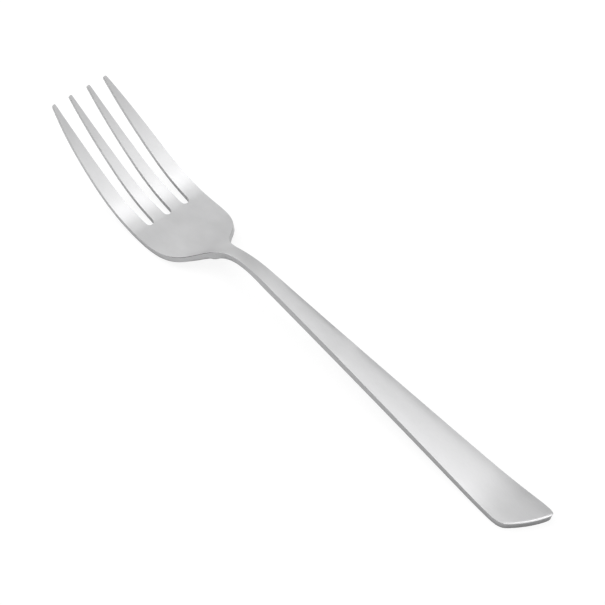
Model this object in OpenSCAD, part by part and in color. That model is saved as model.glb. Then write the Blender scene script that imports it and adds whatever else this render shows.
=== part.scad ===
// Dinner fork with four tines, made from one piece of satin stainless steel.
// The blank is tapered in thickness, cut to its outline and bent to its side shape.
// Y runs from the end of the handle to the tips of the tines. X is across, to the
// right when seen from the handle. Z is up, and the fork lies tines up on Z = 0.
// The origin is on that plane, under the middle of the fork.

/* [Lengths] */
// From the middle of the handle's end to the narrowest part of the neck
handle_length = 120; // [100:1:140]
// From the narrowest part of the neck to the roots of the slots
palm_length = 34; // [30:0.1:38]
// From the roots of the slots to the tips of the tines
tine_length = 43.6; // [36:0.1:52]

/* [Handle] */
// Width of the handle just ahead of its slanted end
handle_end_width = 14.1; // [10:0.1:18]
// Width of the neck at its narrowest
neck_width = 3.7; // [3.4:0.1:6]
// How far each side of the handle draws in halfway along
handle_waist = 0.35; // [0:0.05:0.8]
// How much the handle's top rises in the middle
handle_crown = 0.1; // [0:0.05:0.5]
// Slant of the handle's end, in degrees from square
end_slant = 29.5; // [0:0.5:35]
// How far the middle of the slanted end bulges out
end_bulge = 1.2; // [0:0.1:2]
// Length of handle over which the slant fades out
end_fade = 30; // [20:1:50]
// Corner radius at the handle's end
end_corner_radius = 2; // [0.8:0.1:3]

/* [Head] */
// Width across the head
head_width = 27.2; // [24:0.1:31]
// Number of tines
tine_count = 4; // [3:1:5]
// Width of each outer tine at its root
outer_tine_width = 5.3; // [4.4:0.1:6]
// Width of the slots at their roots
slot_width = 2.6; // [1.8:0.1:3.2]
// Width of a tine at its tip
tip_width = 1; // [0.8:0.05:1.6]
// Corner radius of a tine's tip
tip_radius = 0.35; // [0.1:0.05:0.38]
// How far the tips of the outer tines lean in
tip_lean = 1; // [0:0.1:1.6]
// Full width is reached this far behind the slot roots
full_width_lead = 6; // [1:0.1:8]
// How far the hollow of the neck's outline runs towards the shoulder
neck_flare = 16.5; // [8:0.5:18]
// How far the round of the shoulder's outline runs back from full width
shoulder_round = 20.8; // [14:0.1:26]
// How much the edges of the palm stand above its middle
palm_dish = 0.2; // [0:0.05:0.8]

/* [Thickness] */
// Thickness at the handle's end
end_thickness = 2.1; // [1.6:0.05:3]
// Thickness at the neck
neck_thickness = 2.8; // [2.2:0.05:3.2]
// Thickness at the slot roots
palm_thickness = 1.6; // [1.2:0.05:2.2]
// Thickness at the tips
tip_thickness = 1; // [0.8:0.05:1.5]
// Radius of the broken edges
edge_radius = 0.25; // [0.1:0.05:0.4]
// Radius of the rounded underside at the neck
neck_underside_radius = 0.9; // [0.6:0.1:1.7]
// How far ahead of the narrowest neck the underside is roundest
neck_underside_lead = 4; // [0:0.5:8]
// How far the rounded underside reaches to each side of that
neck_underside_reach = 14; // [8:0.5:20]

/* [Side shape] */
// Length of the flat that rests on the table, at the handle's end
rest_length = 12.5; // [8:0.5:20]
// Bend radius between that flat and the straight of the handle
rest_bend_radius = 140; // [60:5:200]
// How far behind the narrowest neck the arch's corner is
arch_setback = 2; // [0:0.5:4]
// Bend radius of the arch at the neck
arch_bend_radius = 32; // [25:1:50]
// Downward angle of the palm behind the bowl, in degrees
palm_angle = 26.2; // [18:0.1:28]
// Bend radius of the bowl
bowl_radius = 48.5; // [35:0.5:55]
// How far behind the slot roots the bowl touches the table
bowl_lead = 5.5; // [1:0.1:8]
// Upward angle of the tines where the bowl ends, in degrees
tine_angle = 28.8; // [20:0.1:34]
// Upward angle that the tines bend on to from there, in degrees
tip_angle = 38; // [35:0.5:44]
// Bend radius of the tines ahead of the bowl
tine_bend_radius = 185; // [120:1:300]

/* [Hidden] */
steel_colour = [0.78, 0.78, 0.79];

// Plan: places along the length, from the middle of the handle's end
neck_y = handle_length;
root_y = neck_y + palm_length;
tip_y = root_y + tine_length;
full_y = root_y - full_width_lead;
bowl_y = root_y - bowl_lead;

// Plan: the tines and slots across the head
slot_radius = slot_width / 2;
inner_count = tine_count - 2;
inner_tine_width =
    (head_width - 2 * outer_tine_width - (tine_count - 1) * slot_width) / inner_count;
tine_pitch = inner_tine_width + slot_width;
outer_centre = head_width / 2 - outer_tine_width / 2;
first_slot = -head_width / 2 + outer_tine_width + slot_radius;
last_tine = tine_count - 1;

// Shape of the edges in plan: the tines narrow at a steady rate with this share of
// their taper, and faster and faster towards the tip with the rest
steady_taper = 0.58;
late_taper_power = 3.8;
outer_edge_power = 4.4;

// Counts of steps along each stretch and across each tine
corner_steps = 5;
handle_steps = 26;
shoulder_steps = 20;
palm_steps = 3;
root_steps = 5;
tine_steps = 18;
tip_steps = 3;
across_steps = 6;
handle_step_power = 1.4;

// General curves
function mix(a, b, t) = a + (b - a) * t;
function limit(t) = max(0, min(1, t));
function ease(t) = limit(t) * limit(t) * (3 - 2 * limit(t));
function bezier(a, b, c, d, t) =
    pow(1 - t, 3) * a + 3 * t * pow(1 - t, 2) * b + 3 * t * t * (1 - t) * c + pow(t, 3) * d;

// Side shape: the underside is straight legs joined by four bends, and the bend of the
// tines starts where the bowl ends
function palm_line(y) =
    (bowl_y - y) * tan(palm_angle) - bowl_radius * (1 / cos(palm_angle) - 1);
function tine_line(y) =
    (y - bowl_y) * tan(tine_angle) - bowl_radius * (1 / cos(tine_angle) - 1);
arch_y = neck_y - arch_setback;
arch_z = palm_line(arch_y);
bowl_corner_y = bowl_y + bowl_radius * (1 / cos(tine_angle) - 1 / cos(palm_angle))
    / (tan(tine_angle) + tan(palm_angle));
handle_angle = atan2(arch_z, arch_y - rest_length);
tine_corner_y = bowl_y + bowl_radius * sin(tine_angle)
    + tine_bend_radius * tan((tip_angle - tine_angle) / 2) * cos(tine_angle);
leg_angles = [0, handle_angle, -palm_angle, tine_angle, tip_angle];
corners = [
    [rest_length, 0],
    [arch_y, arch_z],
    [bowl_corner_y, tine_line(bowl_corner_y)],
    [tine_corner_y, tine_line(tine_corner_y)]
];
bend_radii = [rest_bend_radius, -arch_bend_radius, bowl_radius, tine_bend_radius];
last_corner = len(corners) - 1;

// Length of leg that bend k takes up on each side of its corner
function tangent(k) = bend_radii[k] * tan((leg_angles[k + 1] - leg_angles[k]) / 2);
function bend_from(k) = corners[k].x - tangent(k) * cos(leg_angles[k]);
function bend_to(k) = corners[k].x + tangent(k) * cos(leg_angles[k + 1]);
function bend_centre(k) = [
    bend_from(k) - bend_radii[k] * sin(leg_angles[k]),
    corners[k].y - tangent(k) * sin(leg_angles[k]) + bend_radii[k] * cos(leg_angles[k])
];

// Slope of the underside at y, and its height: on leg k, on bend k or further on
function slope_at(y, k = 0) =
    k > last_corner || y < bend_from(k) ? leg_angles[k] :
    y < bend_to(k) ? asin((y - bend_centre(k).x) / bend_radii[k]) :
    slope_at(y, k + 1);
function height_at(y, k = 0) =
    k > last_corner ? corners[last_corner].y + (y - corners[last_corner].x) * tan(leg_angles[k]) :
    y < bend_from(k) ? corners[k].y + (y - corners[k].x) * tan(leg_angles[k]) :
    y < bend_to(k) ? bend_centre(k).y - bend_radii[k] * cos(slope_at(y)) :
    height_at(y, k + 1);

// Thickness in the middle of the fork at y
function thickness_at(y) = lookup(y, [
    [0, end_thickness],
    [neck_y, neck_thickness],
    [root_y, palm_thickness],
    [tip_y, tip_thickness]
]);

// Plan outline: half the width at each row along the fork, as [y, half width]
function handle_half(y) =
    let (u = (y - end_corner_radius) / (neck_y - end_corner_radius))
    mix(handle_end_width, neck_width, u) / 2 - handle_waist * 4 * u * (1 - u);
function handle_row(u) =
    let (y = mix(end_corner_radius, neck_y, u))
    [y, handle_half(y)];
function corner_row(angle) = [
    end_corner_radius * (1 - cos(angle)),
    handle_end_width / 2 - end_corner_radius * (1 - sin(angle))
];
function shoulder_row(t) = bezier(
    [neck_y, neck_width / 2],
    [neck_y + neck_flare, neck_width / 2],
    [full_y - shoulder_round, head_width / 2],
    [full_y, head_width / 2], t);
function tip_progress(y) = limit((y - root_y) / tine_length);
function lean_at(y) = tip_lean * pow(tip_progress(y), 2);
function head_row(y) = [y,
    head_width / 2 - lean_at(y)
    - (outer_tine_width - tip_width) / 2 * pow(limit((y - full_y) / (tip_y - full_y)), outer_edge_power)
];
rows = [
    for (i = [0:corner_steps - 1]) corner_row(90 * i / corner_steps),
    for (i = [0:handle_steps - 1]) handle_row(1 - pow(1 - i / handle_steps, handle_step_power)),
    for (i = [0:shoulder_steps - 1]) shoulder_row(i / shoulder_steps),
    for (i = [0:palm_steps - 1]) head_row(mix(full_y, root_y, i / palm_steps)),
    for (i = [0:root_steps - 1]) head_row(root_y + slot_radius * (1 - cos(90 * i / root_steps))),
    for (i = [0:tine_steps - 1]) head_row(mix(root_y + slot_radius, tip_y - tip_radius, i / tine_steps)),
    for (i = [0:tip_steps]) head_row(tip_y - tip_radius * (1 - sin(90 * i / tip_steps)))
];
row_count = len(rows);
root_row = corner_steps + handle_steps + shoulder_steps + palm_steps;

// Plan of a tine: its centre line and half its width at y
function tine_root_width(tine) =
    tine == 0 || tine == last_tine ? outer_tine_width : inner_tine_width;
function tine_centre(tine, y) =
    tine == 0 ? lean_at(y) - outer_centre :
    tine == last_tine ? outer_centre - lean_at(y) :
    first_slot + (tine - 0.5) * tine_pitch;
function taper(v) = steady_taper * v + (1 - steady_taper) * pow(v, late_taper_power);
function tine_half(tine, y) =
    mix(tine_root_width(tine), tip_width, taper(tip_progress(y))) / 2;

// Plan of a slot: its round root opens from nothing to the full slot
function slot_place(slot) = first_slot + slot * tine_pitch;
function slot_opening(y) = sqrt(1 - pow(1 - limit((y - root_y) / slot_radius), 2));
function slot_side(slot, side, y) =
    let (tine = side < 0 ? slot : slot + 1)
    mix(slot_place(slot), tine_centre(tine, y) - side * tine_half(tine, y), slot_opening(y));

// Behind the slots the same strips run on side by side, in step with the outline
function strip_side(tine, side, row) =
    let (y = rows[row][0], half = rows[row][1])
    side < 0 && tine == 0 ? -half :
    side > 0 && tine == last_tine ? half :
    let (slot = side < 0 ? tine - 1 : tine)
    row <= root_row ? slot_place(slot) * half / (head_width / 2) :
    slot_side(slot, -side, y);

// The corners of a tip are rounded in plan
function tip_shrink(y) =
    let (gap = limit((tip_y - y) / tip_radius))
    1 - 2 * tip_radius / tip_width * (1 - sqrt(1 - pow(1 - gap, 2)));

// Columns crowd towards the outer sides, where the edges are rounded
function column_share(tine, u) =
    tine == 0 ? u * u :
    tine == last_tine ? 1 - (1 - u) * (1 - u) :
    u;
function column_x(tine, row, column) =
    let (y = rows[row][0])
    let (x = mix(strip_side(tine, -1, row), strip_side(tine, 1, row),
        column_share(tine, column / across_steps)))
    row <= root_row ? x :
    mix(tine_centre(tine, y), x, tip_shrink(y));

// How far an edge of radius r falls away, at gap_x and gap_y from the sides and ends
function edge_drop(gap_x, gap_y, r) =
    let (k = min(1, norm([max(0, 1 - gap_x / r), max(0, 1 - gap_y / r)])))
    r * (1 - sqrt(1 - k * k));
function underside_radius(y) = mix(edge_radius, neck_underside_radius,
    exp(-pow((y - neck_y - neck_underside_lead) / neck_underside_reach, 2)));

// The slanted and bulged line of the handle's end, faded out along the handle
function end_shift(x, y, half) =
    (-tan(end_slant) * x - end_bulge * (1 - pow(x / half, 2))) * (1 - ease(y / end_fade));

// One point of the surface, level 0 on the underside and 1 on the top
function surface_point(tine, row, column, level) =
    let (y0 = rows[row][0], half = rows[row][1])
    let (plan_x = column_x(tine, row, column))
    let (y = y0 + end_shift(plan_x, y0, half))
    let (x = plan_x * (y == y0 ? 1 : handle_half(y) / handle_half(y0)))
    let (gap_x = half - abs(plan_x), gap_y = min(y0, tip_y - y0))
    let (thickness = thickness_at(y0))
    let (crown = handle_crown * (1 - ease((y0 - neck_y) / palm_length)) * pow(plan_x / half, 2))
    let (dish = palm_dish * ease((y0 - neck_y) / palm_length) * pow(2 * x / head_width, 2))
    let (top = thickness - crown - edge_drop(gap_x, gap_y, edge_radius))
    let (under = edge_drop(gap_x, gap_y, underside_radius(y0)))
    let (level_height = dish + mix(under, top, level))
    let (slope = slope_at(y))
    [x, y - level_height * sin(slope), height_at(y) + level_height * cos(slope)];

points = [
    for (tine = [0:last_tine], row = [0:row_count - 1], level = [0, 1], column = [0:across_steps])
        surface_point(tine, row, column, level)
];
function index(tine, row, column, level) =
    ((tine * row_count + row) * 2 + level) * (across_steps + 1) + column;

// Two triangles for the four-sided face a, b, c, d, listed clockwise from outside
function pair(a, b, c, d) = [[a, b, c], [a, c, d]];
function top_faces() = [
    for (tine = [0:last_tine], row = [0:row_count - 2], column = [0:across_steps - 1])
        each pair(index(tine, row, column, 1), index(tine, row + 1, column, 1),
            index(tine, row + 1, column + 1, 1), index(tine, row, column + 1, 1))
];
function underside_faces() = [
    for (tine = [0:last_tine], row = [0:row_count - 2], column = [0:across_steps - 1])
        each pair(index(tine, row, column, 0), index(tine, row, column + 1, 0),
            index(tine, row + 1, column + 1, 0), index(tine, row + 1, column, 0))
];
// Side walls: the outer ones run the whole length, and those in the slots start at the roots
function left_faces() = [
    for (tine = [0:last_tine], row = [tine == 0 ? 0 : root_row:row_count - 2])
        each pair(index(tine, row + 1, 0, 1), index(tine, row, 0, 1),
            index(tine, row, 0, 0), index(tine, row + 1, 0, 0))
];
function right_faces() = [
    for (tine = [0:last_tine], row = [tine == last_tine ? 0 : root_row:row_count - 2])
        each pair(index(tine, row, across_steps, 1), index(tine, row + 1, across_steps, 1),
            index(tine, row + 1, across_steps, 0), index(tine, row, across_steps, 0))
];
function end_faces() = [
    for (tine = [0:last_tine], column = [0:across_steps - 1])
        each pair(index(tine, 0, column, 1), index(tine, 0, column + 1, 1),
            index(tine, 0, column + 1, 0), index(tine, 0, column, 0))
];
function tip_faces() = [
    for (tine = [0:last_tine], column = [0:across_steps - 1])
        each pair(index(tine, row_count - 1, column + 1, 1), index(tine, row_count - 1, column, 1),
            index(tine, row_count - 1, column, 0), index(tine, row_count - 1, column + 1, 0))
];
faces = concat(top_faces(), underside_faces(), left_faces(), right_faces(), end_faces(), tip_faces());

// The origin is halfway between the farthest corner of the handle and the tips
point_ys = [for (p = points) p.y];
middle_y = (min(point_ys) + max(point_ys)) / 2;

module fork() {
    color(steel_colour)
        translate([0, -middle_y, 0])
            polyhedron(points = points, faces = faces, convexity = 6);
}

fork();
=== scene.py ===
"""A dinner fork in satin stainless steel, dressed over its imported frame.

The fork is drawn out flat from the section of its handle's end, split into tines, given its
crown, dish and rounded underside, slanted at the end and bent to its side shape. Lengths are in
metres, in the frame's own axes: Y runs from the handle to the tips, X is across and Z is up.
"""
import math

import bmesh
import bpy
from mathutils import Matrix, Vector


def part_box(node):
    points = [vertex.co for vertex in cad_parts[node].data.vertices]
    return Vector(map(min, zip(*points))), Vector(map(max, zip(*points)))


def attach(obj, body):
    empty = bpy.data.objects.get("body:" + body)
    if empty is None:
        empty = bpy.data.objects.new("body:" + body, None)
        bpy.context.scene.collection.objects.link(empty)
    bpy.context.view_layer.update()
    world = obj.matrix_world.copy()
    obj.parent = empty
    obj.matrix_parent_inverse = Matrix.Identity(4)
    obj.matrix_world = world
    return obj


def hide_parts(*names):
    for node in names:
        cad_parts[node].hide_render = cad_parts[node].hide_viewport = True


bl_info = {
    "name": "Dinner Fork",
    "version": (1, 0, 0),
    "blender": (4, 5, 0),
    "location": "3D View > Sidebar > Dinner Fork",
    "description": "Models a satin steel dinner fork and its pale studio",
    "category": "Add Mesh",
}

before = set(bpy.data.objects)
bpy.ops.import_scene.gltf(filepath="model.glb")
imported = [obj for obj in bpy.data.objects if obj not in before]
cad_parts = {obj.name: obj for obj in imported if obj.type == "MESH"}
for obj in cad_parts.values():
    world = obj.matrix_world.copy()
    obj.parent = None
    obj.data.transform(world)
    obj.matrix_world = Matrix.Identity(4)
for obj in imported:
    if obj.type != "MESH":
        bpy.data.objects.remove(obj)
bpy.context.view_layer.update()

NODE = "fork"
MM = 0.001

FORK_LOW, FORK_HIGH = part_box(NODE)
HEAD_WIDTH = FORK_HIGH.x - FORK_LOW.x


def length(name, value, description):
    """A size in metres that a user can change."""
    return bpy.props.FloatProperty(
        name=name, description=description, default=value, min=0, precision=5, unit="LENGTH")


def angle(name, degrees, description):
    """An angle that a user can change, shown in degrees."""
    return bpy.props.FloatProperty(
        name=name, description=description, default=math.radians(degrees), subtype="ANGLE")


def amount(name, value, description):
    """A plain number that a user can change."""
    return bpy.props.FloatProperty(
        name=name, description=description, default=value, min=0, precision=4)


def colour(name, value, description):
    """A linear colour that a user can change."""
    return bpy.props.FloatVectorProperty(
        name=name, description=description, default=value, size=3, min=0, max=1, subtype="COLOR")


class ForkSizes(bpy.types.PropertyGroup):
    """Sizes of the fork."""

    handle_length: length(
        "Handle length", 120 * MM, "From the middle of the handle's end to the narrowest neck")
    palm_length: length("Palm length", 34 * MM, "From the neck to the roots of the slots")
    tine_length: length("Tine length", 43.6 * MM, "From the roots of the slots to the tips")

    handle_end_width: length("End width", 14.1 * MM, "Width of the handle ahead of its end")
    neck_width: length("Neck width", 3.7 * MM, "Width of the neck at its narrowest")
    handle_waist: length("Waist", 0.35 * MM, "How far each side of the handle draws in")
    handle_crown: length("Crown", 0.1 * MM, "Rise of the handle's top in the middle")
    crown_fade: length("Crown fade", 25 * MM, "Length of handle over which the crown fades out")
    end_slant: angle("End slant", 29.5, "Slant of the handle's end, from square")
    end_bulge: length("End bulge", 1.2 * MM, "How far the middle of the end bulges out")
    end_fade: length("Slant fade", 30 * MM, "Length of handle over which the slant fades out")
    end_corner_radius: length("End corner radius", 2 * MM, "Corner radius at the handle's end")

    head_width: length("Head width", HEAD_WIDTH, "Width across the head")
    outer_tine_width: length("Outer tine width", 5.3 * MM, "Width of an outer tine at its root")
    slot_width: length("Slot width", 2.6 * MM, "Width of the slots at their roots")
    tip_width: length("Tip width", 1 * MM, "Width of a tine at its tip")
    tip_radius: length("Tip radius", 0.35 * MM, "Corner radius of a tine's tip")
    tip_break: length("Tip break", 0.118 * MM, "What the tips' broken edges take off the length")
    tip_lean: length("Tip lean", 1 * MM, "How far the tips of the outer tines lean in")
    full_width_lead: length(
        "Full width lead", 6 * MM, "Full width is reached this far behind the slot roots")
    neck_flare: length("Neck flare", 16.5 * MM, "How far the neck's hollow outline runs on")
    shoulder_round: length("Shoulder round", 20.8 * MM, "How far the shoulder's round runs back")
    palm_dish: length("Palm dish", 0.2 * MM, "Rise of the palm's edges above its middle")

    end_thickness: length("End thickness", 2.1 * MM, "Thickness at the handle's end")
    neck_thickness: length("Neck thickness", 2.8 * MM, "Thickness at the neck")
    palm_thickness: length("Palm thickness", 1.6 * MM, "Thickness at the slot roots")
    tip_thickness: length("Tip thickness", 1 * MM, "Thickness at the tips")
    end_rim: length("End rim", 0.28 * MM, "Width of the broken top edge at the handle's end")
    neck_underside_radius: length(
        "Underside radius", 0.9 * MM, "Radius of the rounded underside at the neck")
    neck_underside_lead: length(
        "Underside lead", 4 * MM, "How far ahead of the neck the underside is roundest")
    neck_underside_reach: length(
        "Underside reach", 14 * MM, "How far the rounded underside reaches to each side of that")

    rest_length: length("Rest length", 12.5 * MM, "Length of the flat under the handle's end")
    rest_bend_radius: length("Rest bend radius", 140 * MM, "Bend between the flat and the handle")
    arch_setback: length("Arch setback", 2 * MM, "How far behind the neck the arch's corner is")
    arch_bend_radius: length("Arch bend radius", 32 * MM, "Bend radius of the arch at the neck")
    palm_angle: angle("Palm angle", 26.2, "Downward angle of the palm behind the bowl")
    bowl_radius: length("Bowl radius", 48.5 * MM, "Bend radius of the bowl")
    bowl_lead: length("Bowl lead", 5.5 * MM, "How far behind the slot roots the bowl rests")
    tine_angle: angle("Tine angle", 28.8, "Upward angle of the tines where the bowl ends")
    tip_angle: angle("Tip angle", 38, "Upward angle that the tines bend on to from there")
    tine_bend_radius: length(
        "Tine bend radius", 185 * MM, "Bend radius of the tines ahead of the bowl")


class ForkFinish(bpy.types.PropertyGroup):
    """Colours and textures of the steel, with painted shade in the walls' colour and a partly
    painted highlight in the rims' colour.
    """

    steel_colour: colour("Steel", (0.473, 0.473, 0.477), "Colour of the satin faces")
    # The rims' bright colour is partly a painted highlight, far brighter than the steel itself,
    # and partly the polish of the broken edge
    rim_highlight_colour: colour("Rim", (0.85, 0.85, 0.86), "Colour of the polished edges, lightened as a painted highlight")
    # The walls' darker colour is painted shade, standing for the dark things they mirror; their
    # lower roughness is the cut sides' own finish
    wall_shade_colour: colour("Walls", (0.385, 0.385, 0.39), "Colour of the cut sides, darkened as painted shade")
    satin_roughness: amount("Satin roughness", 0.322, "Roughness of the satin faces")
    rim_roughness: amount("Rim roughness", 0.3, "Roughness of the polished edges")
    wall_roughness: amount("Wall roughness", 0.25, "Roughness of the cut sides")
    colour_variation: amount("Colour variation", 0.07, "Depth of the clouding in the steel")
    wall_softness: length("Wall softness", 0.5 * MM, "How far edges round off in the walls' light")
    grain_height: length("Grain height", 0.002 * MM, "Height of the brushed grain")


class StudioSettings(bpy.types.PropertyGroup):
    """The camera, the floor and the lights."""

    lens: amount("Lens", 119, "Focal length in millimetres on a 36 mm wide sensor")
    camera_azimuth: angle("Camera azimuth", -41.519, "Turn of the camera round the fork")
    camera_elevation: angle("Camera elevation", 48.512, "Height of the camera as an angle")
    camera_distance: length("Camera distance", 0.597, "From the camera to the place it looks at")
    softbox_strength: amount("Softbox strength", 1, "Share of the softboxes' full brightness")
    room_strength: amount("Room strength", 0.75, "Light from the white room on matt surfaces")
    floor_colour: colour("Floor", (0.9, 0.9, 0.9), "Colour of the floor and the backdrop")


# Counts of steps along each stretch
HANDLE_STEPS = 26
SHOULDER_STEPS = 16
PALM_STEPS = 3
ROOT_STEPS = 4
TINE_STEPS = 16
TIP_STEPS = 3

# The tines narrow at a steady rate with this share of their taper, and faster and faster
# towards the tip with the rest
STEADY_TAPER = 0.58
LATE_TAPER_POWER = 3.8
OUTER_EDGE_POWER = 4.4

TINES = 4
STRIPS_PER_TINE = 3
COLUMNS = TINES * STRIPS_PER_TINE

# In corner radii: the first step along the handle, and how far the corners of the end section
# draw in and forward, so that smoothing rounds them as in the photo
FIRST_STEP = 1.3
LEFT_CORNER = (0.225, 0.115)
RIGHT_CORNER = (0.225, 0.38)
RIGHT_CORNER_UNDERNEATH = (0.5, 0.7)

# In corner radii too: how far the end's lower edge draws forward towards its right corner, and
# how far from that corner it begins to
UNDERCUT = 0.6
UNDERCUT_REACH = 1.3

CROWN_POWER = 3

# The broken edge of the end grows by a step inside each of these shares of half the width
RIM_REACHES = (1, 0.75)
RIM_SEGMENTS = 3

# The outer columns of the underside over this share of half the width follow its round, at
# heights that rise with this power
ROUND_SHARE = 0.324
ROUND_POWER = 1.5

SMOOTHING_LEVELS = 2

# Edges over this angle are rims of the flat blank, and edges over the next stay crisp
SHARP = math.radians(60)
CRISP = math.radians(40)

# Faces of the flat blank whose normals rise less than this are walls
UPRIGHT = 0.5

# Smaller lengths and angles count as none, and places equal to so many decimals as one
TINY = 1e-6
DECIMALS = 7


def mix(a, b, t):
    return a + (b - a) * t


def within(t):
    """The share t, kept from 0 to 1."""
    return min(1, max(0, t))


def ease(t):
    """Rises from 0 to 1 with level ends."""
    t = within(t)
    return t * t * (3 - 2 * t)


def quarter(steps):
    """The angles that end each step of a quarter turn."""
    return [math.pi / 2 * (i + 1) / steps for i in range(steps)]


def bezier(a, b, c, d, t):
    return (1 - t) ** 3 * a + 3 * t * (1 - t) ** 2 * b + 3 * t * t * (1 - t) * c + t ** 3 * d


class Plan:
    """The fork seen from above, as if flat: y from the end of the handle, x from the middle."""

    def __init__(self, sizes):
        self.s = sizes
        self.neck_y = sizes.handle_length
        self.root_y = self.neck_y + sizes.palm_length
        self.tip_y = self.root_y + sizes.tine_length
        self.full_y = self.root_y - sizes.full_width_lead
        self.end_half = self.handle_half(0)
        self.slot_radius = sizes.slot_width / 2
        slots = (TINES - 1) * sizes.slot_width
        self.inner_width = (
            (sizes.head_width - 2 * sizes.outer_tine_width - slots) / (TINES - 2))
        self.pitch = self.inner_width + sizes.slot_width
        self.outer_centre = (sizes.head_width - sizes.outer_tine_width) / 2

    def handle_half(self, y):
        """Half the width of the handle at y."""
        s = self.s
        u = (y - s.end_corner_radius) / (self.neck_y - s.end_corner_radius)
        return mix(s.handle_end_width, s.neck_width, u) / 2 - s.handle_waist * 4 * u * (1 - u)

    def head_half(self, y):
        """Half the width of the head at y, from full width to the tips."""
        s = self.s
        along = within((y - self.full_y) / (self.tip_y - self.full_y))
        narrowing = (s.outer_tine_width - s.tip_width) / 2 * along ** OUTER_EDGE_POWER
        return s.head_width / 2 - self.lean(y) - narrowing

    def along_tine(self, y):
        """The share of a tine's length behind y."""
        return within((y - self.root_y) / self.s.tine_length)

    def lean(self, y):
        """How far the outer tines lean in at y."""
        return self.s.tip_lean * self.along_tine(y) ** 2

    def body_rows(self):
        """Rows as (y, half width) from the handle's end to the roots of the slots."""
        s = self.s
        first = s.end_corner_radius * FIRST_STEP
        rows = [(0, self.handle_half(0))]
        for i in range(HANDLE_STEPS):
            y = mix(first, self.neck_y, i / HANDLE_STEPS)
            rows.append((y, self.handle_half(y)))
        for i in range(SHOULDER_STEPS):
            rows.append(self.shoulder(i / SHOULDER_STEPS))
        for i in range(PALM_STEPS + 1):
            y = mix(self.full_y, self.root_y, i / PALM_STEPS)
            rows.append((y, self.head_half(y)))
        return rows

    def shoulder(self, t):
        """The row at the share t of the way from the neck to full width."""
        s = self.s
        y = bezier(self.neck_y, self.neck_y + s.neck_flare,
                   self.full_y - s.shoulder_round, self.full_y, t)
        half = bezier(s.neck_width / 2, s.neck_width / 2, s.head_width / 2, s.head_width / 2, t)
        return y, half

    def tine_rows(self):
        """The y of each row along the tines, after their roots."""
        root_end = self.root_y + self.slot_radius
        tip_start = self.tip_y - self.s.tip_radius
        roots = [self.root_y + self.slot_radius * (1 - math.cos(a)) for a in quarter(ROOT_STEPS)]
        tips = [tip_start + self.s.tip_radius * math.sin(a) for a in quarter(TIP_STEPS)]
        return roots + [mix(root_end, tip_start, (i + 1) / TINE_STEPS)
                        for i in range(TINE_STEPS)] + tips

    def tip_share(self, y):
        """What the rounded corners of a tip leave of its width at y."""
        s = self.s
        gap = within((self.tip_y - y) / s.tip_radius)
        return 1 - 2 * s.tip_radius / s.tip_width * (1 - math.sqrt(1 - (1 - gap) ** 2))

    def slot_x(self, slot):
        """Middle of a slot, counted from 0 on the left."""
        return (slot - (TINES - 2) / 2) * self.pitch

    def tine_sides(self, tine, y):
        """The left and right side of a tine at y."""
        s = self.s
        outer = tine in (0, TINES - 1)
        root_width = s.outer_tine_width if outer else self.inner_width
        centre = (self.slot_x(tine - 1) + self.slot_x(tine)) / 2
        if tine == 0:
            centre = self.lean(y) - self.outer_centre
        if tine == TINES - 1:
            centre = self.outer_centre - self.lean(y)
        along = self.along_tine(y)
        taper = STEADY_TAPER * along + (1 - STEADY_TAPER) * along ** LATE_TAPER_POWER
        half = mix(root_width, s.tip_width, taper) / 2
        gap = within((y - self.root_y) / self.slot_radius)
        opening = math.sqrt(1 - (1 - gap) ** 2)
        left = mix(self.slot_x(tine - 1), centre - half, opening)
        right = mix(self.slot_x(tine), centre + half, opening)
        if tine == 0:
            left = -self.head_half(y)
        if tine == TINES - 1:
            right = self.head_half(y)
        share = self.tip_share(y)
        return mix(centre, left, share), mix(centre, right, share)

    def thickness(self, y):
        """Thickness in the middle of the fork at y."""
        s = self.s
        if y < self.neck_y:
            return mix(s.end_thickness, s.neck_thickness, y / self.neck_y)
        if y < self.root_y:
            return mix(s.neck_thickness, s.palm_thickness, (y - self.neck_y) / s.palm_length)
        return mix(s.palm_thickness, s.tip_thickness, (y - self.root_y) / s.tine_length)

    def lift(self, x, y, half, on_top):
        """How far a point of the top or the underside stands above its flat place."""
        s = self.s
        towards_palm = ease((y - self.neck_y) / s.palm_length)
        dish = s.palm_dish * towards_palm * (2 * x / s.head_width) ** 2
        if on_top:
            crown = s.handle_crown * ease((self.neck_y - y) / s.crown_fade)
            return dish - crown * abs(x / half) ** CROWN_POWER
        radius = self.underside_radius(y)
        into_round = within(1 - (half - abs(x)) / radius) if radius > TINY else 0
        return dish + radius * (1 - math.sqrt(1 - into_round ** 2))

    def underside_radius(self, y):
        """Radius of the rounded edges of the underside at y."""
        s = self.s
        from_roundest = (y - self.neck_y - s.neck_underside_lead) / s.neck_underside_reach
        return s.neck_underside_radius * math.exp(-from_roundest ** 2)

    def gathering(self, x, y, half):
        """How far aside a point of the underside moves, to follow the round at its side."""
        inset = half - abs(x)
        share = inset / half / ROUND_SHARE
        if share > 1 + TINY:
            return 0
        radius = self.underside_radius(y)
        roundness = (radius / self.s.neck_underside_radius) ** 2
        return math.copysign((inset - radius * share ** ROUND_POWER) * roundness, x)

    def end_shift(self, x, y):
        """How far along the fork the slanted and bulged end moves a point."""
        s = self.s
        half = self.handle_half(y)
        bulge = s.end_bulge * (1 - (x / half) ** 2)
        return (-math.tan(s.end_slant) * x - bulge) * (1 - ease(y / s.end_fade))


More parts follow.
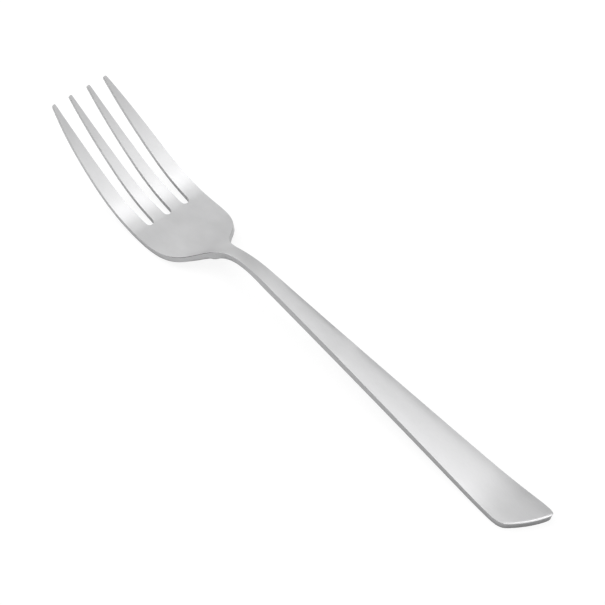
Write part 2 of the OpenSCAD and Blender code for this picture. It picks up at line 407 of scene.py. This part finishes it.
class SideShape:
    """The underside seen from the side: straight legs joined by four bends."""

    def __init__(self, sizes, plan):
        s = sizes
        bowl_y = plan.root_y - s.bowl_lead
        arch_y = plan.neck_y - s.arch_setback
        arch_z = ((bowl_y - arch_y) * math.tan(s.palm_angle)
                  - s.bowl_radius * (1 / math.cos(s.palm_angle) - 1))
        climb = 1 / math.cos(s.tine_angle) - 1 / math.cos(s.palm_angle)
        bowl_corner_y = bowl_y + s.bowl_radius * climb / (
            math.tan(s.tine_angle) + math.tan(s.palm_angle))
        bowl_end_y = bowl_y + s.bowl_radius * math.sin(s.tine_angle)
        tine_corner_y = bowl_end_y + s.tine_bend_radius * math.cos(s.tine_angle) * math.tan(
            (s.tip_angle - s.tine_angle) / 2)

        def tine_line(y):
            return ((y - bowl_y) * math.tan(s.tine_angle)
                    - s.bowl_radius * (1 / math.cos(s.tine_angle) - 1))

        handle_angle = math.atan2(arch_z, arch_y - s.rest_length)
        self.angles = [0, handle_angle, -s.palm_angle, s.tine_angle, s.tip_angle]
        self.corners = [(s.rest_length, 0), (arch_y, arch_z)]
        self.corners += [(y, tine_line(y)) for y in (bowl_corner_y, tine_corner_y)]
        radii = (s.rest_bend_radius, -s.arch_bend_radius, s.bowl_radius, s.tine_bend_radius)
        self.bends = []
        for k, radius in enumerate(radii):
            before, after = self.angles[k], self.angles[k + 1]
            corner_y, corner_z = self.corners[k]
            tangent = radius * math.tan((after - before) / 2)
            start = corner_y - tangent * math.cos(before)
            end = corner_y + tangent * math.cos(after)
            centre_y = start - radius * math.sin(before)
            centre_z = corner_z - tangent * math.sin(before) + radius * math.cos(before)
            self.bends.append((start, end, centre_y, centre_z, radius))

    def at(self, y):
        """Slope and height of the underside at y."""
        for k, (start, end, centre_y, centre_z, radius) in enumerate(self.bends):
            corner_y, corner_z = self.corners[k]
            if y < start:
                return self.angles[k], corner_z + (y - corner_y) * math.tan(self.angles[k])
            if y < end:
                slope = math.asin((y - centre_y) / radius)
                return slope, centre_z - radius * math.cos(slope)
        corner_y, corner_z = self.corners[-1]
        return self.angles[-1], corner_z + (y - corner_y) * math.tan(self.angles[-1])


def deselect_objects():
    for piece in bpy.context.selected_objects:
        piece.select_set(False)


def select_vertices(piece, numbers):
    """Selects these vertices and nothing else, in edit mode."""
    bpy.ops.mesh.select_all(action="DESELECT")
    mesh = bmesh.from_edit_mesh(piece.data)
    mesh.verts.ensure_lookup_table()
    for number in numbers:
        mesh.verts[number].select = True
    mesh.select_flush(True)
    bmesh.update_edit_mesh(piece.data)


def select_cap(piece, y, left, right):
    """Selects the faces that close the section at y between two sides, in edit mode."""
    bpy.ops.mesh.select_mode(type="FACE")
    bpy.ops.mesh.select_all(action="DESELECT")
    mesh = bmesh.from_edit_mesh(piece.data)
    for face in mesh.faces:
        at_y = all(abs(v.co.y - y) < TINY for v in face.verts)
        middle = face.calc_center_median().x
        face.select = at_y and left < middle < right
    mesh.select_flush_mode()
    bmesh.update_edit_mesh(piece.data)


def extrude_cap(y, next_y, old_sides, new_sides, thinning):
    """Draws the selected cap on to the next row, to its new sides and thickness."""
    bpy.ops.mesh.extrude_region_move(TRANSFORM_OT_translate={"value": (0, next_y - y, 0)})
    old_middle, new_middle = sum(old_sides) / 2, sum(new_sides) / 2
    widening = (new_sides[1] - new_sides[0]) / (old_sides[1] - old_sides[0])
    bpy.ops.transform.resize(
        value=(widening, 1, thinning), center_override=(old_middle, next_y, 0))
    if abs(new_middle - old_middle) > TINY:
        bpy.ops.transform.translate(value=(new_middle - old_middle, 0, 0))


def set_columns(piece, plan):
    """Moves the columns of the end section in step with the tines and slots of the head."""
    narrower = plan.end_half / (plan.s.head_width / 2)
    for x, numbers in grouped(piece, column).items():
        tine, strip = divmod(round((x / plan.end_half + 1) * COLUMNS / 2), STRIPS_PER_TINE)
        left, right = plan.tine_sides(min(tine, TINES - 1), plan.root_y)
        wanted = mix(left, right, strip / STRIPS_PER_TINE) if tine < TINES else right
        select_vertices(piece, numbers)
        bpy.ops.transform.translate(value=(wanted * narrower - x, 0, 0))


def draw_out(piece, plan, body_rows):
    """Draws the blank out of its end section, first in one piece and then as tines."""
    for (y, half), (next_y, next_half) in zip(body_rows, body_rows[1:]):
        thinning = plan.thickness(next_y) / plan.thickness(y)
        extrude_cap(y, next_y, (-half, half), (-next_half, next_half), thinning)
    for tine in range(TINES):
        y = plan.root_y
        sides = plan.tine_sides(tine, y)
        select_cap(piece, y, *sides)
        for next_y in plan.tine_rows():
            next_sides = plan.tine_sides(tine, next_y)
            thinning = plan.thickness(next_y) / plan.thickness(y)
            extrude_cap(y, next_y, sides, next_sides, thinning)
            y, sides = next_y, next_sides


def select_rims(piece, wanted):
    """Selects the sharp edges whose two corners are as wanted, in edit mode."""
    bpy.ops.mesh.select_all(action="DESELECT")
    bpy.ops.mesh.edges_select_sharp(sharpness=SHARP)
    mesh = bmesh.from_edit_mesh(piece.data)
    for edge in mesh.edges:
        if not wanted(*(v.co for v in edge.verts)):
            edge.select = False
    mesh.select_flush_mode()
    bmesh.update_edit_mesh(piece.data)


def mark_rims(piece, plan):
    """Creases the edges of the top and the underside, and marks the end's top edge."""
    bpy.ops.mesh.select_mode(type="EDGE")
    select_rims(piece, lambda a, b: (a.xy - b.xy).length > TINY)
    bpy.ops.transform.edge_crease(value=1)
    for reach in RIM_REACHES:
        inside = reach * plan.end_half - TINY
        select_rims(piece, lambda a, b: min(a.z, b.z) > TINY and max(a.y, b.y) < TINY
                    and max(abs(a.x), abs(b.x)) < inside)
        bpy.ops.transform.edge_bevelweight(value=1 / len(RIM_REACHES))


def split_walls(piece):
    """Gives the upright faces of the flat blank the walls' material, whose darker colour is
    painted shade.
    """
    bpy.ops.mesh.select_mode(type="FACE")
    bpy.ops.mesh.select_all(action="DESELECT")
    mesh = bmesh.from_edit_mesh(piece.data)
    for face in mesh.faces:
        face.select = abs(face.normal.z) < UPRIGHT
    mesh.select_flush_mode()
    bmesh.update_edit_mesh(piece.data)
    piece.active_material_index = WALL
    bpy.ops.object.material_slot_assign()
    bpy.ops.mesh.select_mode(type="VERT")


def grouped(piece, key):
    """Numbers of the vertices in edit mode by what the key gives for their place."""
    groups = {}
    for number, vertex in enumerate(bmesh.from_edit_mesh(piece.data).verts):
        groups.setdefault(key(vertex.co), []).append(number)
    return groups


def row(place):
    """Key of the row that a vertex of the flat blank is in."""
    return round(place.y, DECIMALS)


def column(place):
    """Key of the column that a vertex of the end section is in."""
    return round(place.x, DECIMALS)


def spot(place):
    """Key of the row and column of a vertex, and whether it is on top."""
    return row(place), column(place), place.z > TINY


def raise_surfaces(piece, plan, half_at):
    """Gives the flat blank its crown, its dish and its rounded underside."""
    for (y, x, on_top), numbers in grouped(piece, spot).items():
        half = half_at(y)
        aside = 0 if on_top else plan.gathering(x, y, half)
        rise = plan.lift(x + aside, y, half, on_top)
        if abs(rise) > TINY or abs(aside) > TINY:
            select_vertices(piece, numbers)
            bpy.ops.transform.translate(value=(aside, 0, rise))


def slant_end(piece, plan):
    """Slants and bulges the end of the handle along the lines of its sides."""
    s = plan.s
    for (y, x, on_top), numbers in grouped(piece, spot).items():
        if y > s.end_fade:
            continue
        half = plan.handle_half(y)
        shift = plan.end_shift(x, y)
        aside = x * (plan.handle_half(y + shift) / half - 1)
        if y < TINY and half - abs(x) < TINY:
            right = RIGHT_CORNER if on_top else RIGHT_CORNER_UNDERNEATH
            inward, forward = right if x > 0 else LEFT_CORNER
            shift += s.end_corner_radius * forward
            aside -= math.copysign(s.end_corner_radius * inward, x)
        elif y < TINY and not on_top:
            near_right = max(0, 1 - (half - x) / s.end_corner_radius / UNDERCUT_REACH)
            shift += s.end_corner_radius * UNDERCUT * near_right ** 2
        select_vertices(piece, numbers)
        bpy.ops.transform.translate(value=(aside, shift, 0))


def bend_to_shape(piece, side_shape):
    """Turns and lifts each row of the flat blank on to the side shape."""
    for y, numbers in grouped(piece, row).items():
        slope, height = side_shape.at(y)
        if abs(slope) < TINY and abs(height) < TINY:
            continue
        select_vertices(piece, numbers)
        bpy.ops.transform.rotate(value=-slope, orient_axis="X", center_override=(0, y, 0))
        bpy.ops.transform.translate(value=(0, 0, height))


def add_applied(piece, kind, name, **settings):
    """Adds a modifier with these settings and applies it."""
    modifier = piece.modifiers.new(name, kind)
    for setting, value in settings.items():
        setattr(modifier, setting, value)
    bpy.ops.object.modifier_apply(modifier=modifier.name)


SOFT_EDGE_SAMPLES = 8

# Noise textures as (scale, detail), and what stretches them along the fork
LINES, LINES_STRETCH = (1, 4), (5200, 210, 5200)
CLOUDS, CLOUDS_STRETCH = (1, 3), (260, 130, 260)
SPECKS = (9000, 2)

# Shares of the grain that are lines, and of the mottle that are clouds
LINES_SHARE = 0.6
CLOUDS_SHARE = 0.5

# How far the mottle sways the brightness, times the finish's variation, and the roughness
BRIGHTNESS_SWING = 4
ROUGHNESS_SWING = 0.5


def noise_texture(tree, vector, scale, detail):
    node = tree.nodes.new("ShaderNodeTexNoise")
    node.inputs["Scale"].default_value = scale
    node.inputs["Detail"].default_value = detail
    tree.links.new(vector, node.inputs["Vector"])
    return node.outputs["Fac"]


def stretched(tree, vector, scale):
    node = tree.nodes.new("ShaderNodeMapping")
    node.inputs["Scale"].default_value = scale
    tree.links.new(vector, node.inputs["Vector"])
    return node.outputs["Vector"]


def math_node(tree, operation, *values):
    """A maths node fed by sockets or numbers."""
    node = tree.nodes.new("ShaderNodeMath")
    node.operation = operation
    for socket, value in zip(node.inputs, values):
        if isinstance(value, bpy.types.NodeSocket):
            tree.links.new(value, socket)
        else:
            socket.default_value = value
    return node.outputs[0]


def blend(tree, first, second, share):
    """The first value by this share and the second by the rest."""
    rest = math_node(tree, "MULTIPLY", second, 1 - share)
    return math_node(tree, "MULTIPLY_ADD", first, share, rest)


def brushed_steel_group():
    """The brushed and clouded look that all the steel shares."""
    group = bpy.data.node_groups.new("brushed steel", "ShaderNodeTree")
    sockets = {
        "INPUT": (("Colour", "Color"), ("Variation", "Float"), ("Roughness", "Float"),
                  ("Grain height", "Float")),
        "OUTPUT": (("Colour", "Color"), ("Roughness", "Float"), ("Height", "Float")),
    }
    for side, named_kinds in sockets.items():
        for name, kind in named_kinds:
            group.interface.new_socket(name, in_out=side, socket_type="NodeSocket" + kind)
    given = group.nodes.new("NodeGroupInput").outputs
    result = group.nodes.new("NodeGroupOutput").inputs
    place = group.nodes.new("ShaderNodeTexCoord").outputs["Object"]

    # Fine lines along the fork, soft clouds, and specks a tenth of a millimetre across
    lines = noise_texture(group, stretched(group, place, LINES_STRETCH), *LINES)
    clouds = noise_texture(group, stretched(group, place, CLOUDS_STRETCH), *CLOUDS)
    specks = noise_texture(group, place, *SPECKS)

    grain = blend(group, lines, specks, LINES_SHARE)
    mottle = blend(group, clouds, grain, CLOUDS_SHARE)
    from_mean = math_node(group, "SUBTRACT", mottle, 0.5)
    depth = math_node(group, "MULTIPLY", given["Variation"], BRIGHTNESS_SWING)
    brightness = math_node(group, "MULTIPLY_ADD", from_mean, depth, 1)

    tinted = group.nodes.new("ShaderNodeVectorMath")
    tinted.operation = "SCALE"
    group.links.new(given["Colour"], tinted.inputs[0])
    group.links.new(brightness, tinted.inputs["Scale"])
    group.links.new(tinted.outputs[0], result["Colour"])

    uneven = math_node(group, "MULTIPLY_ADD", from_mean, ROUGHNESS_SWING, 1)
    rough = math_node(group, "MULTIPLY", given["Roughness"], uneven)
    group.links.new(rough, result["Roughness"])
    group.links.new(math_node(group, "MULTIPLY", grain, given["Grain height"]), result["Height"])
    return group


def steel_material(name, group, tint, roughness, softness, finish):
    """One finish of the steel: the shared group feeding a metal shader."""
    material = bpy.data.materials.new(name)
    material.use_nodes = True
    tree = material.node_tree
    shader = tree.nodes["Principled BSDF"]
    shader.inputs["Metallic"].default_value = 1
    steel = tree.nodes.new("ShaderNodeGroup")
    steel.node_tree = group
    steel.inputs["Colour"].default_value = (*tint, 1)
    steel.inputs["Variation"].default_value = finish.colour_variation
    steel.inputs["Roughness"].default_value = roughness
    steel.inputs["Grain height"].default_value = finish.grain_height
    tree.links.new(steel.outputs["Colour"], shader.inputs["Base Color"])
    tree.links.new(steel.outputs["Roughness"], shader.inputs["Roughness"])
    bump = tree.nodes.new("ShaderNodeBump")
    if softness:
        edges = tree.nodes.new("ShaderNodeBevel")
        edges.samples = SOFT_EDGE_SAMPLES
        edges.inputs["Radius"].default_value = softness
        tree.links.new(edges.outputs["Normal"], bump.inputs["Normal"])
    bump.inputs["Distance"].default_value = 1
    bump.inputs["Strength"].default_value = 1
    tree.links.new(steel.outputs["Height"], bump.inputs["Height"])
    tree.links.new(bump.outputs["Normal"], shader.inputs["Normal"])
    return material


# Numbers of the fork's second and third material, after the satin steel: the walls, darkened by
# painted shade, and the rims, brightened partly by a painted highlight
WALL, RIM = 1, 2


class FORK_OT_make_fork(bpy.types.Operator):
    """Model the fork and give it its steel"""

    bl_idname = "dinner_fork.make_fork"
    bl_label = "Make Fork"

    def execute(self, context):
        sizes, finish = context.scene.fork_sizes, context.scene.fork_finish
        plan = Plan(sizes)
        body_rows = plan.body_rows()
        half_widths = {round(y, DECIMALS): half for y, half in body_rows}

        def half_at(y):
            return half_widths.get(y, sizes.head_width / 2)

        deselect_objects()
        bpy.ops.mesh.primitive_grid_add(
            x_subdivisions=COLUMNS, y_subdivisions=1, size=1,
            location=(0, 0, sizes.end_thickness / 2), rotation=(-math.pi / 2, 0, 0))
        piece = context.object
        piece.name = "satin_fork"
        piece.scale = (2 * plan.end_half, sizes.end_thickness, 1)
        bpy.ops.object.transform_apply(location=True, rotation=True, scale=True)

        group = brushed_steel_group()
        # The walls' material gets a darker colour as painted shade, and the rims' material a
        # bright colour that is partly a painted highlight
        looks = (
            ("satin steel", finish.steel_colour, finish.satin_roughness, 0),
            ("steel wall with painted shade", finish.wall_shade_colour, finish.wall_roughness, finish.wall_softness),
            ("polished steel rim with painted highlight", finish.rim_highlight_colour, finish.rim_roughness, 0),
        )
        for name, tint, roughness, softness in looks:
            piece.data.materials.append(
                steel_material(name, group, tint, roughness, softness, finish))

        bpy.ops.object.mode_set(mode="EDIT")
        set_columns(piece, plan)
        bpy.ops.mesh.select_all(action="SELECT")
        draw_out(piece, plan, body_rows)
        bpy.ops.mesh.select_mode(type="VERT")
        bpy.ops.mesh.select_all(action="SELECT")
        bpy.ops.mesh.normals_make_consistent(inside=False)
        mark_rims(piece, plan)
        split_walls(piece)
        raise_surfaces(piece, plan, half_at)
        slant_end(piece, plan)
        bend_to_shape(piece, SideShape(sizes, plan))
        bpy.ops.object.mode_set(mode="OBJECT")

        add_applied(piece, "SUBSURF", "smooth steel", levels=SMOOTHING_LEVELS)
        # The end's broken edge takes the rim material, whose bright colour is partly a painted
        # highlight
        add_applied(piece, "BEVEL", "broken edge", width=sizes.end_rim, segments=RIM_SEGMENTS,
                    limit_method="WEIGHT", use_clamp_overlap=False, material=RIM)
        bpy.ops.object.shade_smooth_by_angle(angle=CRISP)
        piece.location.y = FORK_HIGH.y + sizes.tip_break - plan.tip_y
        bpy.ops.object.transform_apply(location=True, rotation=False, scale=False)

        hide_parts(NODE)
        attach(piece, "root")
        return {"FINISHED"}


def floor_material(tint):
    """Plain matt, which the camera sees through a white glow that leaves a faint shadow."""
    material = bpy.data.materials.new("studio floor")
    material.use_nodes = True
    tree = material.node_tree
    matt = tree.nodes["Principled BSDF"]
    matt.inputs["Base Color"].default_value = (*tint, 1)
    matt.inputs["Roughness"].default_value = 1
    matt.inputs["Specular IOR Level"].default_value = 0
    glow = tree.nodes.new("ShaderNodeEmission")
    glow.inputs["Strength"].default_value = FLOOR_GLOW
    shown = tree.nodes.new("ShaderNodeMixShader")
    shown.inputs["Fac"].default_value = FLOOR_MATT_SHARE
    tree.links.new(glow.outputs[0], shown.inputs[1])
    tree.links.new(matt.outputs[0], shown.inputs[2])
    either = tree.nodes.new("ShaderNodeMixShader")
    path = tree.nodes.new("ShaderNodeLightPath").outputs
    tree.links.new(path["Is Camera Ray"], either.inputs["Fac"])
    tree.links.new(matt.outputs[0], either.inputs[1])
    tree.links.new(shown.outputs[0], either.inputs[2])
    tree.links.new(either.outputs[0], tree.nodes["Material Output"].inputs["Surface"])
    return material


FLOOR_SIZE = 6
FLOOR_MATT_SHARE = 0.15
FLOOR_GLOW = 1.03
# Round softboxes as (name, place, radius, brightness where 1 is white)
SOFTBOXES = (
    ("overhead_softbox", (0.62, 0.185, 1.461), 0.264, 2.69),
    ("side_softbox", (0.547, -0.31, 1.456), 0.188, 2.93),
    ("low_softbox", (-0.154, 0.64, 0.279), 0.498, 2.2),
    ("far_softbox", (0.139, 0.426, 0.567), 0.31, 0.78),
)
# The room's darker sides as (direction, share of the light missing, spread in radians)
DARK_SIDES = (
    ((0.332, 0.631, 0.702), 0.7, 0.7),
    ((0.398, 0.823, 0.405), 0.38, 0.32),
    ((-0.9, 0.02, 0.435), 1, 0.62),
)
CAMERA_AIM = (7.525 * MM, 3.253 * MM, 0)
SENSOR_WIDTH = 36
WATTS_PER_WHITE = math.pi


class FORK_OT_make_studio(bpy.types.Operator):
    """Set up the pale floor, the soft light and the camera"""

    bl_idname = "dinner_fork.make_studio"
    bl_label = "Make Studio"

    def execute(self, context):
        studio = context.scene.fork_studio
        deselect_objects()
        bpy.ops.mesh.primitive_plane_add(size=FLOOR_SIZE, location=(0, 0, 0))
        floor = context.object
        floor.name = "studio_floor"
        floor.data.materials.append(floor_material(studio.floor_colour))

        self.white_room(context.scene, studio.room_strength)
        for softbox in SOFTBOXES:
            self.softbox(studio.softbox_strength, *softbox)
        self.camera(context.scene, studio)
        context.scene.view_settings.view_transform = "Standard"
        return {"FINISHED"}

    def white_room(self, scene, strength):
        """White to the camera, evenly lit for matt surfaces and partly darker in the steel."""
        world = bpy.data.worlds.new("white room")
        world.use_nodes = True
        tree = world.node_tree
        path = tree.nodes.new("ShaderNodeLightPath").outputs
        light = tree.nodes["Background"]
        light.inputs["Color"].default_value = (1, 1, 1, 1)
        light.inputs["Strength"].default_value = strength
        mirrored = tree.nodes.new("ShaderNodeBackground")
        tree.links.new(self.room_brightness(tree), mirrored.inputs["Strength"])
        shown = tree.nodes.new("ShaderNodeBackground")
        for background in (mirrored, shown):
            background.inputs["Color"].default_value = (1, 1, 1, 1)
        steps = ((path["Is Glossy Ray"], mirrored), (path["Is Camera Ray"], shown))
        seen = light
        for is_ray, background in steps:
            mixed = tree.nodes.new("ShaderNodeMixShader")
            tree.links.new(is_ray, mixed.inputs["Fac"])
            tree.links.new(seen.outputs[0], mixed.inputs[1])
            tree.links.new(background.outputs[0], mixed.inputs[2])
            seen = mixed
        tree.links.new(seen.outputs[0], tree.nodes["World Output"].inputs["Surface"])
        scene.world = world

    def room_brightness(self, tree):
        """The white room as the steel mirrors it, with its darker sides."""
        direction = tree.nodes.new("ShaderNodeTexCoord").outputs["Generated"]
        brightness = 1
        for side, share, spread in DARK_SIDES:
            facing = tree.nodes.new("ShaderNodeVectorMath")
            facing.operation = "DOT_PRODUCT"
            tree.links.new(direction, facing.inputs[0])
            facing.inputs[1].default_value = side
            away = math_node(tree, "SUBTRACT", facing.outputs["Value"], 1)
            fade = math_node(tree, "EXPONENT", math_node(tree, "MULTIPLY", away, 2 / spread ** 2))
            missing = math_node(tree, "MULTIPLY", fade, share)
            brightness = math_node(tree, "SUBTRACT", brightness, missing)
        return math_node(tree, "MAXIMUM", brightness, 0)

    def softbox(self, share, name, place, radius, brightness):
        """A round lamp that faces the middle of the fork."""
        lamp = bpy.data.lights.new(name, "AREA")
        lamp.shape = "DISK"
        lamp.size = 2 * radius
        lamp.energy = share * brightness * math.pi * radius ** 2 * WATTS_PER_WHITE
        stand = bpy.data.objects.new(name, lamp)
        stand.location = place
        stand.rotation_euler = Vector(place).to_track_quat("Z", "Y").to_euler()
        bpy.context.scene.collection.objects.link(stand)

    def camera(self, scene, studio):
        """The photo's camera, turned and raised round the place it looks at."""
        azimuth, elevation = studio.camera_azimuth, studio.camera_elevation
        back = Vector((math.sin(azimuth) * math.cos(elevation),
                       -math.cos(azimuth) * math.cos(elevation), math.sin(elevation)))
        data = bpy.data.cameras.new("camera")
        data.lens = studio.lens
        data.sensor_width = SENSOR_WIDTH
        camera = bpy.data.objects.new("camera", data)
        camera.location = Vector(CAMERA_AIM) + back * studio.camera_distance
        camera.rotation_euler = back.to_track_quat("Z", "Y").to_euler()
        scene.collection.objects.link(camera)
        scene.camera = camera


class FORK_PT_sidebar(bpy.types.Panel):
    """The fork's sizes, finish and studio in the sidebar"""

    bl_idname = "FORK_PT_sidebar"
    bl_label = "Dinner Fork"
    bl_space_type = "VIEW_3D"
    bl_region_type = "UI"
    bl_category = "Dinner Fork"

    def draw(self, context):
        scene = context.scene
        parts = (
            ("Fork", scene.fork_sizes, FORK_OT_make_fork),
            ("Steel", scene.fork_finish, None),
            ("Studio", scene.fork_studio, FORK_OT_make_studio),
        )
        for title, settings, operator in parts:
            box = self.layout.box()
            box.label(text=title)
            for name in settings.__annotations__:
                box.prop(settings, name)
            if operator:
                box.operator(operator.bl_idname)


CLASSES = (
    ForkSizes, ForkFinish, StudioSettings,
    FORK_OT_make_fork, FORK_OT_make_studio, FORK_PT_sidebar,
)


def register():
    for cls in CLASSES:
        bpy.utils.register_class(cls)
    bpy.types.Scene.fork_sizes = bpy.props.PointerProperty(type=ForkSizes)
    bpy.types.Scene.fork_finish = bpy.props.PointerProperty(type=ForkFinish)
    bpy.types.Scene.fork_studio = bpy.props.PointerProperty(type=StudioSettings)


def unregister():
    for name in ("fork_sizes", "fork_finish", "fork_studio"):
        delattr(bpy.types.Scene, name)
    for cls in reversed(CLASSES):
        bpy.utils.unregister_class(cls)


def main():
    register()
    bpy.ops.dinner_fork.make_studio()
    bpy.ops.dinner_fork.make_fork()


if __name__ == "__main__":
    main()
